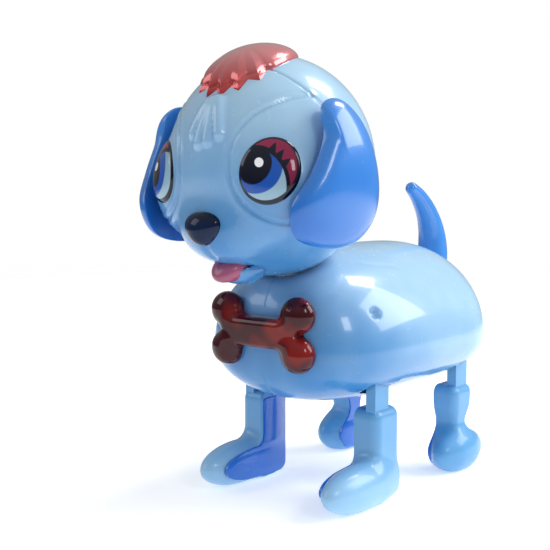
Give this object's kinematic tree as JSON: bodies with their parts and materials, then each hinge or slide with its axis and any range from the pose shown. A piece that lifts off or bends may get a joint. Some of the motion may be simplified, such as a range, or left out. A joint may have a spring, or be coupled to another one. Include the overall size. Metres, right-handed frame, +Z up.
{
  "type": "walking toy puppy",
  "caption": "Battery-driven toy puppy with four swinging legs, a turning head, hanging ears, a wagging tail, a hair tuft and a bone on its chest.",
  "frame": {"origin": "on the floor plane under the middle of the toy, halfway between its left and right sides and between its nose and the back of its tail", "axes": "+Z up; the face looks along -Y; +X is the puppy's own left side"},
  "size_m": [0.0956, 0.172, 0.1789],
  "materials": {
    "pale_blue_shell": "glossy moulded ABS, faintly milky",
    "pale_blue_leg": "satin moulded plastic",
    "strong_blue_cover": "glossy moulded plastic, deeper blue",
    "pale_blue_lever": "smooth nylon",
    "pale_blue_door": "glossy moulded ABS with fine ribs",
    "mid_blue": "high gloss moulded plastic",
    "natural_nylon": "natural nylon",
    "metallic_red": "vacuum-metallised plastic with red lacquer",
    "bone_red": "deep red lacquered plastic",
    "nose_black": "gloss black paint",
    "tongue_mauve": "painted satin",
    "painted_eye": "printed eye under clear gloss",
    "bright_steel": "bright drawn steel",
    "gear_white": "acetal",
    "pinion_brass": "machined",
    "black_plastic": "fine moulded grain",
    "board_green": "solder-resist lacquer",
    "cell_wrap": "plain shrink sleeve"
  },
  "bodies": {
    "trunk": {"body_shell_left": "pale_blue_shell", "body_shell_right": "pale_blue_shell", "belly_pan": "pale_blue_shell", "battery_door": "pale_blue_door", "battery_door_screw": "bright_steel", "battery_tray": "natural_nylon", "battery_cells": "cell_wrap", "battery_contacts": "bright_steel", "power_switch_case": "black_plastic", "circuit_board": "board_green", "board_components": "black_plastic", "speaker": "black_plastic", "gearbox_case_left": "gear_white", "gearbox_case_right": "gear_white", "gear_pins": "bright_steel", "drive_motor": "bright_steel", "front_hip_axle": "bright_steel", "rear_hip_axle": "bright_steel", "body_screws": "bright_steel", "chest_bone": "bone_red", "tail_pin": "bright_steel"},
    "crank": {"crank_axle": "bright_steel", "crank_disc_left": "gear_white", "crank_disc_right": "gear_white", "final_gear": "gear_white"},
    "second_gear": {"second_gear": "gear_white"},
    "first_gear": {"first_gear": "gear_white"},
    "motor_rotor": {"motor_shaft": "bright_steel", "motor_pinion": "pinion_brass"},
    "head": {"head_shell_front": "pale_blue_shell", "head_shell_back": "pale_blue_shell", "neck_post": "natural_nylon", "nose": "nose_black", "tongue": "tongue_mauve", "eye_left": "painted_eye", "eye_right": "painted_eye", "hair_tuft": "metallic_red", "head_screws": "bright_steel", "ear_clip_left": "natural_nylon", "ear_clip_right": "natural_nylon"},
    "left_ear": {"ear_left": "mid_blue"},
    "right_ear": {"ear_right": "mid_blue"},
    "tail": {"tail": "mid_blue"},
    "switch_slider": {"power_switch_slider": "black_plastic"},
    "front_left_leg": {"front_left_leg_lever": "pale_blue_lever", "front_left_leg_casing": "pale_blue_leg", "front_left_leg_cover": "strong_blue_cover"},
    "front_right_leg": {"front_right_leg_lever": "pale_blue_lever", "front_right_leg_casing": "pale_blue_leg", "front_right_leg_cover": "strong_blue_cover"},
    "rear_left_leg": {"rear_left_leg_lever": "pale_blue_lever", "rear_left_leg_casing": "pale_blue_leg", "rear_left_leg_cover": "strong_blue_cover"},
    "rear_right_leg": {"rear_right_leg_lever": "pale_blue_lever", "rear_right_leg_casing": "pale_blue_leg", "rear_right_leg_cover": "strong_blue_cover"}
  },
  "joints": [
    {"name": "crank_turn", "type": "hinge", "parent": "trunk", "child": "crank", "pos_m": [0, 0.01675, 0.071], "axis": [1, 0, 0], "continuous": true},
    {"name": "second_gear_turn", "type": "hinge", "parent": "trunk", "child": "second_gear", "pos_m": [0, 0.02747, 0.08], "axis": [1, 0, 0], "continuous": true},
    {"name": "first_gear_turn", "type": "hinge", "parent": "trunk", "child": "first_gear", "pos_m": [0, 0.04147, 0.08], "axis": [1, 0, 0], "continuous": true},
    {"name": "motor_turn", "type": "hinge", "parent": "trunk", "child": "motor_rotor", "pos_m": [0, 0.0536, 0.073], "axis": [1, 0, 0], "continuous": true},
    {"name": "front_left_leg_swing", "type": "hinge", "parent": "trunk", "child": "front_left_leg", "pos_m": [0, -0.0138, 0.058], "axis": [1, 0, 0], "range_deg": [-9, 9]},
    {"name": "front_right_leg_swing", "type": "hinge", "parent": "trunk", "child": "front_right_leg", "pos_m": [0, -0.0138, 0.058], "axis": [1, 0, 0], "range_deg": [-9, 9]},
    {"name": "rear_left_leg_swing", "type": "hinge", "parent": "trunk", "child": "rear_left_leg", "pos_m": [0, 0.0495, 0.058], "axis": [1, 0, 0], "range_deg": [-9, 9]},
    {"name": "rear_right_leg_swing", "type": "hinge", "parent": "trunk", "child": "rear_right_leg", "pos_m": [0, 0.0495, 0.058], "axis": [1, 0, 0], "range_deg": [-9, 9]},
    {"name": "head_turn", "type": "hinge", "parent": "trunk", "child": "head", "pos_m": [0, -0.033, 0.09], "axis": [0, 0, 1], "range_deg": [-15, 15]},
    {"name": "left_ear_swing", "type": "hinge", "parent": "head", "child": "left_ear", "pos_m": [0.03, -0.05, 0.152], "axis": [1, 0, 0], "range_deg": [-10, 10]},
    {"name": "right_ear_swing", "type": "hinge", "parent": "head", "child": "right_ear", "pos_m": [-0.03, -0.05, 0.152], "axis": [1, 0, 0], "range_deg": [-10, 10]},
    {"name": "tail_wag", "type": "hinge", "parent": "trunk", "child": "tail", "pos_m": [0, 0.0632, 0.078], "axis": [0, 0, 1], "range_deg": [-18, 18]},
    {"name": "power_switch_slide", "type": "slide", "parent": "trunk", "child": "switch_slider", "axis": [0, 1, 0], "range_m": [-0.0015, 0.0015]}
  ],
  "couplings": [
    {"joint": "second_gear_turn", "follows": "crank_turn", "ratio": -3},
    {"joint": "first_gear_turn", "follows": "crank_turn", "ratio": 9},
    {"joint": "motor_turn", "follows": "crank_turn", "ratio": -27},
    {"joint": "front_right_leg_swing", "follows": "front_left_leg_swing", "ratio": -1},
    {"joint": "rear_left_leg_swing", "follows": "front_left_leg_swing", "ratio": -1},
    {"joint": "rear_right_leg_swing", "follows": "front_left_leg_swing", "ratio": 1}
  ]
}
